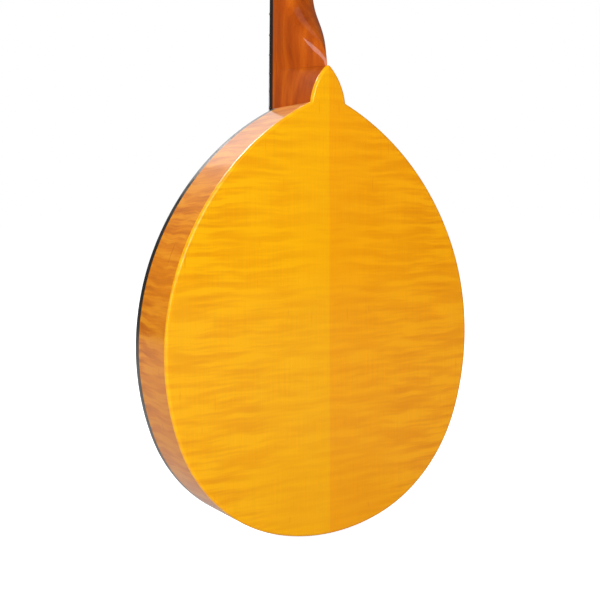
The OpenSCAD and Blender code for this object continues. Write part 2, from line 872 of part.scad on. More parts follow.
// Holes for the posts and their bushings, in headstock coordinates
module post_bores() {
    for (k = [1:8]) translate([side_of(k) * post_x, 0, post_z(k)]) {
        y_bar(-veneer_t - 1, bushing_depth + 1 + fit_gap, bushing_r + fit_gap);
        y_bar(-1, head_t + 2, post_hole_r);
    }
}

module post_bushings() {
    color("silver") for (k = [1:8]) at_post(k) difference() {
        union() {
            y_bar(-veneer_t, bushing_depth, bushing_r);
            y_bar(-veneer_t - bushing_flange_t, bushing_flange_t, bushing_flange_r);
        }
        y_bar(-veneer_t - 3, bushing_depth + 6, post_r + running_gap);
    }
}

// Shanks of the plate screws, in headstock coordinates
module plate_screw_set(r) {
    for (s = [-1, 1], z = plate_screws) translate([s * post_x, 0, z])
        y_bar(plate_back - screw_len, screw_len, r);
}

module plate_screws() {
    color("silver") on_headstock() {
        difference() {
            union() {
                plate_screw_set(screw_r - fit_gap);
                for (s = [-1, 1], z = plate_screws) translate([s * post_x, 0, z])
                    y_bar(plate_back, screw_head_t, screw_head_r);
            }
            for (s = [-1, 1], z = plate_screws)
                translate([s * post_x - screw_head_r - 1, plate_back + screw_head_t - slot_t,
                           z - slot_w / 2])
                    cube([2 * screw_head_r + 2, slot_t + 1, slot_w]);
        }
    }
}

module bracket(x) {
    translate([x, 0, -gear_drop]) difference() {
        translate([0, plate_back - 0.1, -bracket_half])
            cube([bracket_t, worm_y - plate_back + bracket_half, 2 * bracket_half]);
        translate([0, worm_y, 0]) x_bar(-1, bracket_t + 2, shaft_r + running_gap);
    }
}

module tuner_plates() {
    color("silver") for (first = [1, 5]) {
        on_headstock() mirror([first == 1 ? 0 : 1, 0, 0]) difference() {
            translate([plate_inner_x, head_t, plate_low])
                cube([plate_outer_x - plate_inner_x, plate_t, plate_high - plate_low]);
            for (k = [1:4]) translate([post_x, 0, post_z(k)])
                y_bar(head_t - 1, plate_t + 2, post_r + running_gap);
            plate_screw_set(screw_r);
        }
        for (k = [first:first + 3]) at_post(k) {
            bracket(bracket_x);
            bracket(-bracket_x - bracket_t);
        }
    }
}

module string_turns(k) {
    r = string_r(k);
    top = veneer_t + winding_h + r * (2 * turns + 1) + 0.15;
    translate([0, -top, 0]) rotate([-90, 0, 0]) rotate_extrude() {
        for (i = [0:turns - 1]) translate([winding_r(k), r + 2 * r * i * 0.98]) circle(r);
        translate([winding_r(k) - r * 0.9, r * 0.5]) square([r, 2 * r * (turns - 0.6)]);
    }
}

module tuner_post(k) {
    color("silver") at_post(k) {
        difference() {
            union() {
                y_bar(-veneer_t - post_h, gear_y + veneer_t + post_h, post_r);
                y_bar(gear_y - 0.1, gear_t + 0.1, gear_bore_r);
            }
            translate([0, -veneer_t - winding_h - 2, 0])
                x_bar(-post_r - 1, 2 * post_r + 2, string_hole_r);
            y_bar(gear_y + gear_t - rivet_len - 1, rivet_len + 2, rivet_r);
        }
        string_turns(k);
    }
}

module gear_plan() {
    step = 360 / gear_teeth;
    polygon([for (i = [0:gear_teeth - 1]) each [
        gear_root_r * dir(step * (i - 0.33)),
        gear_r * dir(step * (i - 0.15)),
        gear_r * dir(step * (i + 0.15)),
        gear_root_r * dir(step * (i + 0.33))]]);
}

module tuner_gear(k) {
    color("goldenrod") at_post(k) {
        plank(gear_y, gear_t) difference() {
            rotate(90 + 180 / gear_teeth) gear_plan();
            circle(gear_bore_r + fit_gap);
        }
        difference() {
            union() {
                y_bar(gear_y + gear_t - rivet_len, rivet_len + fit_gap, rivet_r - fit_gap);
                y_bar(gear_y + gear_t + fit_gap, rivet_head_t, gear_bore_r + 0.4);
            }
            translate([-gear_r, gear_y + gear_t + rivet_head_t - slot_t + fit_gap, -slot_w / 2])
                cube([2 * gear_r, slot_t + 1, slot_w]);
        }
    }
}

module tuner_worm(k) {
    shaft_inner = bracket_x + bracket_t + 0.5;
    color("goldenrod") at_post(k) translate([0, worm_y, -gear_drop]) {
        x_bar(-shaft_inner, button_x - post_x + button_grip + shaft_inner, shaft_r);
        x_bar(-thread_half, 2 * thread_half, worm_core_r);
        for (x = [-thread_half - collar_t, thread_half]) x_bar(x, collar_t, collar_r);
    }
}

module tuner_button(k) {
    start = button_x - post_x;
    corner_r = button_corner_r;
    color("ivory") at_post(k) translate([0, worm_y, -gear_drop]) difference() {
        union() {
            x_bar(start, button_neck + 1, shaft_r + 1.4);
            translate([0, button_t / 2, 0]) rotate([90, 0, 0]) linear_extrude(button_t)
                translate([start + button_neck, 0]) {
                    translate([0, corner_r - button_w / 2]) square([button_l, button_w - 2 * corner_r]);
                    translate([corner_r, -button_w / 2]) square([button_l - 2 * corner_r, button_w]);
                    for (x = [corner_r, button_l - corner_r], s = [-1, 1])
                        translate([x, s * (button_w / 2 - corner_r)]) circle(corner_r);
                }
        }
        x_bar(start - 1, button_grip + 1 + fit_gap, shaft_r + fit_gap);
    }
}

back_bass_half();
back_treble_half();
back_seam_strip();
back_braces();
soundboard();
soundboard_braces();
rosette();
side_bass();
side_treble();
linings();
neck_block();
tail_block();
top_binding();
end_pin();
tailpiece();
bridge();
saddle();
neck();
truss_rod();
fingerboard();
frets();
position_dots();
nut();
headstock_veneer();
tuner_plates();
post_bushings();
plate_screws();
strings();
for (k = [1:8]) {
    tuner_post(k);
    tuner_gear(k);
    tuner_worm(k);
    tuner_button(k);
}
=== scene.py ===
"""Looks of a flat-backed, teardrop-shaped bouzouki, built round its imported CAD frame.

Curved pieces are drawn in millimetres, in the frame of the CAD: the origin is at the
middle of the nut's front edge, +Z runs up the neck, -Y is the front and +X the treble side.
"""

import math

import bmesh
import bpy
from mathutils import Matrix, Vector


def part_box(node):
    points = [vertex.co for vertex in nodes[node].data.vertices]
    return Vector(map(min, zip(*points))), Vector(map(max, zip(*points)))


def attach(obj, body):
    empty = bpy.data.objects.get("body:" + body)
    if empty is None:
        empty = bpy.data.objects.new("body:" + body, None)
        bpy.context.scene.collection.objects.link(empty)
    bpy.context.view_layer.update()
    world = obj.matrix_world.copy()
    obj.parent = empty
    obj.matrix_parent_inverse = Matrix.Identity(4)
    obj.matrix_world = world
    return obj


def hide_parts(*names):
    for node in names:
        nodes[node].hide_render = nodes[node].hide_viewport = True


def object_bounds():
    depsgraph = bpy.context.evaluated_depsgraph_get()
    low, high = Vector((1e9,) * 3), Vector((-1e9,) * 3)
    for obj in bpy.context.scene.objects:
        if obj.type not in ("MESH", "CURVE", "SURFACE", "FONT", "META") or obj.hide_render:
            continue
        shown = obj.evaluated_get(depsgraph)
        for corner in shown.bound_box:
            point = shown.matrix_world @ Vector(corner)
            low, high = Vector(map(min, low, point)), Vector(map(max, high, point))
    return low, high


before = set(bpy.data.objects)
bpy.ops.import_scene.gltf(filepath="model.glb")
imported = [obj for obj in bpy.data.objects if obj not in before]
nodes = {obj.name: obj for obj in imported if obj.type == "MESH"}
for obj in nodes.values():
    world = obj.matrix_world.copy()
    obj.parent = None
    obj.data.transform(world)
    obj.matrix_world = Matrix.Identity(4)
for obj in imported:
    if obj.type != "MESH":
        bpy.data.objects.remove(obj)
cad_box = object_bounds()

MM = 0.001
FLAT_AREA = 150                # faces larger than this, in square mm, are shaded flat

# ---- Sizes of the CAD model that the curved pieces follow, in millimetres ----

BODY_W = 348
BODY_DEPTH = 66.5
WIDEST_Z = 187
TAIL_R = 200
TAIL_SWEEP = 17
HIP_R = 156
SIDE_SWEEP = 25
BACK_T = 3.5
SOUNDBOARD_T = 3
SIDE_T = 2.4
BINDING_T = 1.6
BINDING_H = 8

NUT_W = 36
JOINT_W = 46
NUT_T = 5
NECK_T = 15
NECK_T_HEEL = 17
HEEL_HALF_W = 19.5
BUTTON_LEN = 35
BUTTON_TIP_R = 3.5
ARCH_ROOT = 8                  # how far below the neck joint the button is widest
HEEL_SWEEP = 80
HEEL_TURN = 50
HEEL_SQUARENESS = 1.15         # 1 is a pointed V and 2 an ellipse
NECK_SQUARENESS = 2.3
NUT_SQUARENESS = 3
SOCKET_SQUARENESS = 5
NUT_BLEND = 30                 # length below the nut in which the neck turns square
SOCKET_Z = 8                   # how far the neck's round runs into the headstock
NECK_SINK = 0.5                # depth of the neck's end under the headstock's faces

HEAD_LEN = 182
HEAD_W = 76
HEAD_T = 15
HEAD_TILT = math.radians(12)
VENEER_T = 2
CROWN_R = 160
WAIST_INSET = 0.3

FIRST_POST = 38
POST_PITCH = 37
POST_X = 24
POST_R = 3
POST_HOLE_R = 3.4              # through the wood of the headstock
BUSHING_HOLE_R = 4.02          # through its veneer
POST_H = 12
PLATE_T = 1.2
GEAR_T = 3
GEAR_BORE_R = 2.4
PITCH_R = 5.25
WORM_R = 2.75
WORM_CORE_R = 1.9
TOOTH_MODULE = 0.7
SHAFT_R = 1.75
THREAD_HALF = 6.05
COLLAR_T = 1
COLLAR_R = 2.9
END_GAP = 0.1                  # between a worm's collar and its bracket
PLATE_NEARNESS = 0.55          # how far a worm sits in from two modules above its plate
BRACKET_T = 1.5
BUTTON_GAP = 5.5               # from the headstock's side to a button's ferrule
BUTTON_GRIP = 7                # length of a shaft inside its button
BUTTON_NECK = 3                # from there to the button's broad part
BUTTON_CORNER_R = 5
BUTTON_W = 17
BUTTON_L = 14
BUTTON_T = 7

ROSETTE_INNER_R = 44
ROSETTE_OUTER_R = 52
SCALE_LEN = 650
FINGERBOARD_T = 6.5
PAIR_GAPS = (2.6, 3.4)         # between the strings of a pair, at the nut and at the saddle
COURSE_GAPS = (9, 15.6)        # between the pairs, at the nut and at the saddle
STRING_H_NUT = 1.9
STRING_H_SADDLE = 13
STRING_H_TAIL = 4.7
STRING_RADII = (0.14, 0.2, 0.3, 0.45)    # from the treble pair to the bass pair
WINDING_H = 4                  # height of a string above the veneer at its post
WINDING_GAP = 0.03             # between a post and the string wound on it
STRING_TURNS = 4
TAILPIECE_LEN = 94
TAILPIECE_T = 1.5
BALL_R = 1.5
BALL_W = 2.6

low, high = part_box("side_treble")
JOINT_Z = high.z / MM
TAIL_Z = low.z / MM
BODY_LEN = JOINT_Z - TAIL_Z
RIM_BACK = BODY_DEPTH - BACK_T
GEAR_DROP = PITCH_R + WORM_R
BRACKET_X = THREAD_HALF + COLLAR_T + END_GAP
WORM_Y = HEAD_T + PLATE_T + WORM_R + 2 * TOOTH_MODULE - PLATE_NEARNESS
BUTTON_START = HEAD_W / 2 + BUTTON_GAP - POST_X
GEAR_Y = WORM_Y - GEAR_T / 2


# ---- Mesh helpers ----

def on_circle(centre, radius, angle):
    return (centre[0] + radius * math.cos(angle), centre[1] + radius * math.sin(angle))


def spread(start, end, steps):
    """Evenly spaced values from start to end, both included."""
    return [start + (end - start) * i / steps for i in range(steps + 1)]


def finish_mesh(name, bm, sharp=35):
    """Turns a bmesh drawn in millimetres into an object in metres with crisp creases."""
    bmesh.ops.remove_doubles(bm, verts=bm.verts, dist=0.002)
    bmesh.ops.dissolve_degenerate(bm, edges=bm.edges, dist=0.002)
    bmesh.ops.recalc_face_normals(bm, faces=bm.faces)
    bmesh.ops.scale(bm, vec=(MM, MM, MM), verts=bm.verts)
    mesh = bpy.data.meshes.new(name)
    bm.to_mesh(mesh)
    bm.free()
    mesh.polygons.foreach_set("use_smooth", [True] * len(mesh.polygons))
    mesh.set_sharp_from_angle(angle=math.radians(sharp))
    piece = bpy.data.objects.new(name, mesh)
    bpy.context.scene.collection.objects.link(piece)
    return piece


def add_skin(bm, rings, place=None, along=None):
    """Adds a closed skin through rings of points.

    along gives each ring its distance, kept in metres as the vertex attribute 'along'.
    """
    place = place or Matrix.Identity(4)
    layer = None
    if along:
        layer = bm.verts.layers.float.get("along") or bm.verts.layers.float.new("along")
    rows = []
    for i, ring in enumerate(rings):
        row = [bm.verts.new(place @ Vector(point)) for point in ring]
        if layer:
            for vert in row:
                vert[layer] = along[i] * MM
        rows.append(row)
    for first, second in zip(rows, rows[1:]):
        for i in range(len(first)):
            j = (i + 1) % len(first)
            bm.faces.new((first[i], first[j], second[j], second[i]))
    bm.faces.new(rows[0])
    bm.faces.new(rows[-1])


def skin(name, rings, **options):
    bm = bmesh.new()
    add_skin(bm, rings, **options)
    return finish_mesh(name, bm)


def mirrored(rings):
    return [[(-x, y, z) for x, y, z in ring] for ring in rings]


def add_tube(bm, path, radius, sides=12, place=None):
    """A round tube along a list of points, with its rings kept from twisting."""
    points = [Vector(point) for point in path]
    heading = (points[1] - points[0]).normalized()
    across = heading.orthogonal().normalized()
    rings = []
    for i, point in enumerate(points):
        before = points[max(i - 1, 0)]
        after = points[min(i + 1, len(points) - 1)]
        heading = (after - before).normalized()
        across = (across - heading * across.dot(heading)).normalized()
        other = heading.cross(across)
        rings.append([
            point + radius * (across * math.cos(a) + other * math.sin(a))
            for a in [2 * math.pi * j / sides for j in range(sides)]])
    add_skin(bm, rings, place=place)


def add_lathe(bm, profile, axis, place=None, sides=48):
    """A solid of revolution from (distance along the axis, radius) pairs."""
    rings = []
    for distance, radius in profile:
        ring = []
        for j in range(sides):
            a = 2 * math.pi * j / sides
            u, v = max(radius, 0.01) * math.cos(a), max(radius, 0.01) * math.sin(a)
            ring.append((distance, u, v) if axis == "X" else (u, distance, v))
        rings.append(ring)
    add_skin(bm, rings, place=place)


def combine(piece, tool, operation):
    """Applies a boolean to a piece and removes the tool."""
    modifier = piece.modifiers.new("combine", "BOOLEAN")
    modifier.operation = operation
    modifier.object = tool
    modifier.solver = "EXACT"
    graph = bpy.context.evaluated_depsgraph_get()
    mesh = bpy.data.meshes.new_from_object(piece.evaluated_get(graph))
    piece.modifiers.clear()
    piece.data = mesh
    bpy.data.objects.remove(tool)
    # The large flat faces stay flat beside their rounded edges
    for face in mesh.polygons:
        if face.area > FLAT_AREA * MM * MM:
            face.use_smooth = False


def dress(piece, material, body="instrument", replaces=()):
    """Gives a new piece its material, the body it rides on and the CAD nodes it stands for."""
    piece.data.materials.clear()
    piece.data.materials.append(material)
    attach(piece, body)
    if replaces:
        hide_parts(*replaces)
    return piece


def dress_cad(names, material, bevel=0.0):
    """Gives CAD nodes a material and, with bevel in millimetres, softly broken edges."""
    for name in names:
        node = nodes[name]
        if not node.material_slots:
            node.data.materials.append(material)
        for slot in node.material_slots:
            slot.material = material
        if bevel:
            weld = node.modifiers.new("weld", "WELD")
            weld.merge_threshold = 1e-5
            rounding = node.modifiers.new("broken_edges", "BEVEL")
            rounding.width = bevel * MM
            rounding.segments = 2
            rounding.limit_method = "ANGLE"
            rounding.angle_limit = math.radians(40)
            shading = node.modifiers.new("flat_faces", "WEIGHTED_NORMAL")
            shading.keep_sharp = True


# ---- Material helpers ----

def srgb(red, green, blue):
    """Linear colour of a 0 to 255 sRGB colour."""
    def linear(value):
        value /= 255
        return value / 12.92 if value <= 0.04045 else ((value + 0.055) / 1.055) ** 2.4
    return (linear(red), linear(green), linear(blue), 1)


class Paint:
    """A Principled material whose inputs are set by value or from procedural nodes."""

    def __init__(self, name, **sockets):
        self.material = bpy.data.materials.new(name)
        self.material.use_nodes = True
        self.tree = self.material.node_tree
        self.shader = self.tree.nodes["Principled BSDF"]
        self.place = self.add("ShaderNodeTexCoord").outputs["Object"]
        for socket, value in sockets.items():
            self.set(socket.replace("_", " "), value)

    def set(self, socket, value):
        self.feed(self.shader.inputs[socket], value)

    def feed(self, socket, value):
        if isinstance(value, bpy.types.NodeSocket):
            self.tree.links.new(value, socket)
        else:
            socket.default_value = value

    def add(self, kind, inputs=(), **settings):
        node = self.tree.nodes.new(kind)
        for key, value in settings.items():
            setattr(node, key, value)
        for key, value in dict(inputs).items():
            self.feed(node.inputs[key], value)
        return node

    def scaled(self, x, y, z, vector=None):
        """The position with each direction multiplied."""
        return self.add("ShaderNodeVectorMath", {0: vector or self.place, 1: (x, y, z)},
                        operation="MULTIPLY").outputs[0]

    def noise(self, vector, scale=1.0, detail=3.0, rough=0.5, warp=0.0):
        return self.add("ShaderNodeTexNoise", {
            "Vector": vector, "Scale": scale, "Detail": detail,
            "Roughness": rough, "Distortion": warp}).outputs["Fac"]

    def math(self, operation, a, b=0.0, clamp=False):
        return self.add("ShaderNodeMath", {0: a, 1: b}, operation=operation,
                        use_clamp=clamp).outputs[0]

    def split(self, vector=None):
        return self.add("ShaderNodeSeparateXYZ", {0: vector or self.place}).outputs

    def join(self, x, y, z):
        return self.add("ShaderNodeCombineXYZ", {0: x, 1: y, 2: z}).outputs[0]

    def fit(self, value, low, high, to_low=0.0, to_high=1.0):
        """Maps a range of values onto another one, held at its ends."""
        return self.add("ShaderNodeMapRange", {
            "Value": value, "From Min": low, "From Max": high,
            "To Min": to_low, "To Max": to_high}).outputs[0]

    def ramp(self, value, *stops):
        node = self.add("ShaderNodeValToRGB", {0: value})
        elements = node.color_ramp.elements
        while len(elements) < len(stops):
            elements.new(0.5)
        for element, (position, colour) in zip(elements, stops):
            element.position = position
            element.color = colour
        return node.outputs[0]

    def mix(self, amount, a, b, blend="MIX"):
        node = self.add("ShaderNodeMix", {0: amount, 6: a, 7: b},
                        data_type="RGBA", blend_type=blend)
        return node.outputs[2]

    def bump(self, height, distance, strength=1.0):
        """Relief of a 0 to 1 height, with its full depth in millimetres."""
        self.set("Normal", self.add("ShaderNodeBump", {
            "Height": height, "Distance": distance * MM, "Strength": strength}).outputs[0])


def figured_maple(name, pale, deep, shadow, rim=False):
    """Flamed maple under amber gloss: ripples across the grain, over a faint long grain.

    The plates take their figure from |x|, so that the halves are bookmatched. The rim takes
    it from the distance along the rim, kept in the vertices.
    """
    paint = Paint(name, Roughness=0.5, Specular_IOR_Level=0.08,
                  Coat_Weight=0.8, Coat_Roughness=0.08 if rim else 0.03, Coat_IOR=1.34)
    x, y, z = paint.split()
    if rim:
        along = paint.add("ShaderNodeAttribute", attribute_name="along").outputs["Fac"]
        across = y
    else:
        along = z
        across = paint.math("ABSOLUTE", x)

    def cloud(across_scale, along_scale, offset, detail, shift=along, rough=0.5):
        """Noise stretched along one direction of the board."""
        place = paint.join(paint.math("MULTIPLY", across, across_scale), offset,
                           paint.math("MULTIPLY", shift, along_scale))
        return paint.noise(place, detail=detail, rough=rough)

    # The ripples wander up and down a little on their way across the board
    wander = paint.math("MULTIPLY", paint.math("SUBTRACT", cloud(26.0, 20.0, 0.0, 2.0), 0.5),
                        0.010 if rim else 0.006)
    flame_z = paint.math("ADD", along, wander)
    broad = cloud(16.0, 120.0 if rim else 150.0, 0.0, 2.0, flame_z, 0.45)
    fine = cloud(30.0, 420.0, 3.0, 2.0, flame_z, 0.5)
    flame = paint.math("ADD", paint.math("MULTIPLY", broad, 0.68),
                       paint.math("MULTIPLY", fine, 0.32))
    flame = paint.fit(flame, 0.38, 0.62)
    # Some of the board is calmer than the rest, and most of all the plates' middle
    strength = paint.fit(cloud(14.0, 9.0, 7.0, 1.0), 0.38, 0.66, 0.45, 1.0)
    if not rim:
        strength = paint.math("MULTIPLY", strength, paint.fit(across, 0.02, 0.13, 0.3, 1.0))
    calm = paint.mix(strength, (0.62, 0.62, 0.62, 1), flame)
    figure = paint.ramp(calm, (0.0, shadow), (0.5, deep), (0.72, pale), (1.0, pale))
    # Long grain
    grain_tint = paint.fit(cloud(1100.0, 18.0, 0.0, 3.0), 0.3, 0.7, 0.94, 1.02)
    colour = paint.mix(1.0, figure, paint.join(grain_tint, grain_tint, grain_tint), "MULTIPLY")
    # Deeper and warmer towards the tail and in broad patches
    patch = paint.fit(paint.noise(paint.scaled(7.0, 7.0, 4.0), detail=1.0), 0.4, 0.75)
    near_tail = paint.fit(z, -0.45, -0.8)
    warm = paint.math("ADD", paint.math("MULTIPLY", patch, 0.35),
                      paint.math("MULTIPLY", near_tail, 0.5), clamp=True)
    colour = paint.mix(warm, colour, paint.mix(0.5, colour, deep))
    # A few short dark mineral streaks along the grain
    streak = paint.fit(cloud(420.0, 30.0, 11.0, 1.0), 0.72, 0.77)
    colour = paint.mix(paint.math("MULTIPLY", streak, 0.75), colour, shadow)
    paint.set("Base Color", colour)
    paint.bump(calm, 0.02, 0.2)
    return paint.material


def mahogany(name):
    """Glossy red-brown mahogany with long pores and streaks of colour along the neck."""
    paint = Paint(name, Roughness=0.5, Specular_IOR_Level=0.08,
                  Coat_Weight=1.0, Coat_Roughness=0.04, Coat_IOR=1.4)
    bands = paint.noise(paint.scaled(70.0, 70.0, 5.0), detail=3.0, rough=0.6)
    colour = paint.ramp(bands,
                        (0.3, srgb(156, 62, 1)),
                        (0.5, srgb(180, 78, 2)),
                        (0.7, srgb(202, 98, 6)))
    pores = paint.noise(paint.scaled(1400.0, 1400.0, 45.0), detail=2.0)
    pores = paint.fit(pores, 0.6, 0.72)
    colour = paint.mix(paint.math("MULTIPLY", pores, 0.35), colour, srgb(120, 44, 4))
    paint.set("Base Color", colour)
    paint.bump(pores, -0.02, 0.3)
    return paint.material


def spruce():
    """Bookmatched spruce: fine straight year rings, closer near the middle seam."""
    paint = Paint("spruce", Roughness=0.38, Coat_Weight=0.8, Coat_Roughness=0.06)
    across = paint.math("ABSOLUTE", paint.split()["X"])
    drift = paint.noise(paint.scaled(6.0, 0.0, 2.0), detail=2.0)
    across = paint.math("ADD", across, paint.math("MULTIPLY", drift, 0.004))
    rings = paint.math("FRACT", paint.math("MULTIPLY", across, 780.0))
    rings = paint.math("POWER", rings, 3.0)
    colour = paint.mix(paint.math("MULTIPLY", rings, 0.75), srgb(232, 190, 122), srgb(196, 136, 70))
    silk = paint.noise(paint.scaled(40.0, 0.0, 260.0), detail=2.0)
    colour = paint.mix(paint.fit(silk, 0.45, 0.75, 0.0, 0.25), colour, srgb(246, 214, 156))
    paint.set("Base Color", colour)
    paint.bump(rings, 0.02, 0.3)
    return paint.material


def plain_wood(name, pale, dark, stretch=(300.0, 300.0, 12.0), roughness=0.6, coat=0.0):
    """An unfigured wood with its grain along Z unless stretched otherwise."""
    paint = Paint(name, Roughness=roughness, Specular_IOR_Level=0.25,
                  Coat_Weight=coat, Coat_Roughness=0.1)
    grain = paint.noise(paint.scaled(*stretch), detail=4.0, rough=0.6)
    colour = paint.mix(paint.fit(grain, 0.3, 0.7), dark, pale)
    pores = paint.fit(paint.noise(paint.scaled(*[s * 4 for s in stretch]), detail=1.0), 0.6, 0.75)
    paint.set("Base Color", paint.mix(paint.math("MULTIPLY", pores, 0.6), colour, dark))
    paint.bump(paint.math("ADD", grain, pores), -0.03, 0.4)
    return paint.material


def black_gloss(name):
    """Black plastic edge binding with the faint ripple of a polished strip."""
    paint = Paint(name, Coat_Weight=0.25, Coat_Roughness=0.08)
    wear = paint.noise(paint.scaled(60.0, 60.0, 60.0), detail=4.0)
    paint.set("Base Color", paint.mix(wear, srgb(14, 12, 12), srgb(34, 30, 28)))
    paint.set("Roughness", paint.fit(wear, 0.3, 0.7, 0.22, 0.4))
    paint.bump(wear, 0.01, 0.2)
    return paint.material


def bone():
    paint = Paint("bone", Subsurface_Weight=0.15, Subsurface_Scale=0.001)
    cloud = paint.noise(paint.scaled(140.0, 140.0, 500.0), detail=4.0)
    paint.set("Base Color", paint.mix(cloud, srgb(226, 214, 184), srgb(244, 238, 220)))
    paint.set("Roughness", paint.fit(cloud, 0.3, 0.7, 0.3, 0.45))
    paint.bump(cloud, 0.01, 0.3)
    return paint.material


def pearl(name, scale):
    """Mother-of-pearl or its plastic likeness: swirling milky clouds with a soft sheen."""
    paint = Paint(name, Roughness=0.22, Coat_Weight=0.6, Coat_Roughness=0.05)
    swirl = paint.noise(paint.scaled(scale, scale, scale), detail=3.0, warp=2.5)
    colour = paint.ramp(swirl,
                        (0.3, srgb(196, 196, 186)),
                        (0.45, srgb(236, 232, 218)),
                        (0.55, srgb(224, 214, 206)),
                        (0.7, srgb(246, 244, 236)))
    paint.set("Base Color", colour)
    paint.bump(swirl, 0.02, 0.2)
    return paint.material


def metal(name, colour, dull, roughness, scratch_scale=(500.0, 40.0, 500.0)):
    """Polished metal with fine brush marks and a slightly tarnished bloom."""
    paint = Paint(name, Metallic=1.0)
    marks = paint.noise(paint.scaled(*scratch_scale), detail=3.0)
    bloom = paint.noise(paint.scaled(90.0, 90.0, 90.0), detail=4.0)
    paint.set("Base Color", paint.mix(paint.fit(bloom, 0.4, 0.75), colour, dull))
    paint.set("Roughness", paint.fit(paint.math("ADD", marks, bloom), 0.7, 1.3,
                                     roughness, roughness + 0.18))
    paint.bump(marks, 0.002, 0.2)
    return paint.material


def rosette_inlay(centre_z):
    """Rings of dark and pale wood round a rope of slanted tiles."""
    paint = Paint("rosette_inlay", Roughness=0.35, Coat_Weight=0.8, Coat_Roughness=0.06)
    x = paint.split()["X"]
    up = paint.math("SUBTRACT", paint.split()["Z"], centre_z * MM)
    radius = paint.math("SQRT", paint.math("ADD", paint.math("MULTIPLY", x, x),
                                           paint.math("MULTIPLY", up, up)))
    angle = paint.math("ARCTAN2", up, x)
    across = paint.fit(radius, ROSETTE_INNER_R * MM, ROSETTE_OUTER_R * MM)
    tiles = 96
    slant = paint.math("ADD", paint.math("MULTIPLY", angle, tiles / (2 * math.pi)), across)
    tile = paint.math("GREATER_THAN", paint.math("FRACT", slant), 0.5)
    rope = paint.mix(tile, srgb(52, 28, 16), srgb(216, 170, 104))
    rings = paint.math("GREATER_THAN", paint.math(
        "FRACT", paint.math("MULTIPLY", across, 8.0)), 0.5)
    edge = paint.mix(rings, srgb(30, 18, 12), srgb(222, 180, 118))
    middle = paint.math("LESS_THAN", paint.math(
        "ABSOLUTE", paint.math("SUBTRACT", across, 0.5)), 0.25)
    grain = paint.fit(paint.noise(paint.scaled(900.0, 900.0, 200.0)), 0.3, 0.7, 0.85, 1.05)
    colour = paint.mix(middle, edge, rope)
    paint.set("Base Color", paint.mix(1.0, colour, paint.join(grain, grain, grain), "MULTIPLY"))
    paint.bump(middle, 0.02, 0.2)
    return paint.material


def string_metal(name, colour, wound):
    """Steel string, or a wound one with its turns as a fine relief along the neck."""
    paint = Paint(name, Metallic=1.0, Roughness=0.26)
    stain = paint.noise(paint.scaled(200.0, 200.0, 60.0), detail=3.0)
    paint.set("Base Color", paint.mix(stain, colour, srgb(120, 108, 92)))
    turns_per_metre = 2000.0 if wound else 300.0
    wave = paint.math("SINE", paint.math("MULTIPLY", paint.split()["Z"],
                                         turns_per_metre * 2 * math.pi))
    paint.bump(wave, 0.03 if wound else 0.002, 0.6)
    return paint.material


# ---- Outline of the body ----

def rim_arcs():
    """The outline's four arcs, each (centre, radius, start, end, steps), up from the tail."""
    quarter = math.pi / 2
    tail_end = math.radians(TAIL_SWEEP) - quarter
    tail = (0, TAIL_R)
    hip = on_circle(tail, TAIL_R - HIP_R, tail_end)
    out = BODY_W / 2 - hip[0]
    up = WIDEST_Z - hip[1]
    side_r = (out * out + up * up - HIP_R * HIP_R) / (2 * (out - HIP_R))
    side = (BODY_W / 2 - side_r, WIDEST_Z)
    side_low = math.atan2(hip[1] - side[1], hip[0] - side[0])
    side_end = math.radians(SIDE_SWEEP)
    reach = (HEEL_HALF_W - side[0], BODY_LEN - side[1])
    lean = reach[0] * math.cos(side_end) + reach[1] * math.sin(side_end)
    shift = (side_r ** 2 - reach[0] ** 2 - reach[1] ** 2) / (2 * (lean - side_r))
    shoulder = on_circle(side, -shift, side_end)
    return [
        (tail, TAIL_R, -quarter, tail_end, 14),
        (hip, HIP_R, tail_end, side_low, 32),
        (side, side_r, side_low, side_end, 44),
        (shoulder, shift + side_r, side_end, None, 44),
    ]


RIM_ARCS = rim_arcs()


def rim_line(inset, stop_x=None):
    """Points (x, z) of the treble rim from the tail to the neck joint.

    The line ends at the height of the joint, or where it gets within stop_x of the middle.
    """
    points = []
    for centre, radius, start, end, steps in RIM_ARCS:
        radius -= inset
        if end is None and stop_x is None:
            end = math.asin((BODY_LEN - centre[1]) / radius)
        elif end is None:
            end = math.acos((stop_x - centre[0]) / radius)
        arc = [on_circle(centre, radius, a) for a in spread(start, end, steps)]
        points += arc if not points else arc[1:]
    return [(max(x, 0.01), TAIL_Z + z) for x, z in points]


def rim_rise(x):
    """Height of the shoulder over the neck joint at a distance from the middle."""
    centre, radius = RIM_ARCS[3][:2]
    if x <= HEEL_HALF_W:
        return 0
    return centre[1] + math.sqrt(radius ** 2 - (x - centre[0]) ** 2) - BODY_LEN


def path_lengths(points):
    """Distance of each point along its line."""
    lengths = [0.0]
    for (x0, z0), (x1, z1) in zip(points, points[1:]):
        lengths.append(lengths[-1] + math.hypot(x1 - x0, z1 - z0))
    return lengths


def swept_rim(profile):
    """Rings of a profile of (inset, y) carried along the treble rim."""
    lines = {inset: rim_line(inset) for inset, y in profile}
    count = len(lines[profile[0][0]])
    return [[(lines[inset][i][0], y, lines[inset][i][1]) for inset, y in profile]
            for i in range(count)]


# ---- Body pieces ----

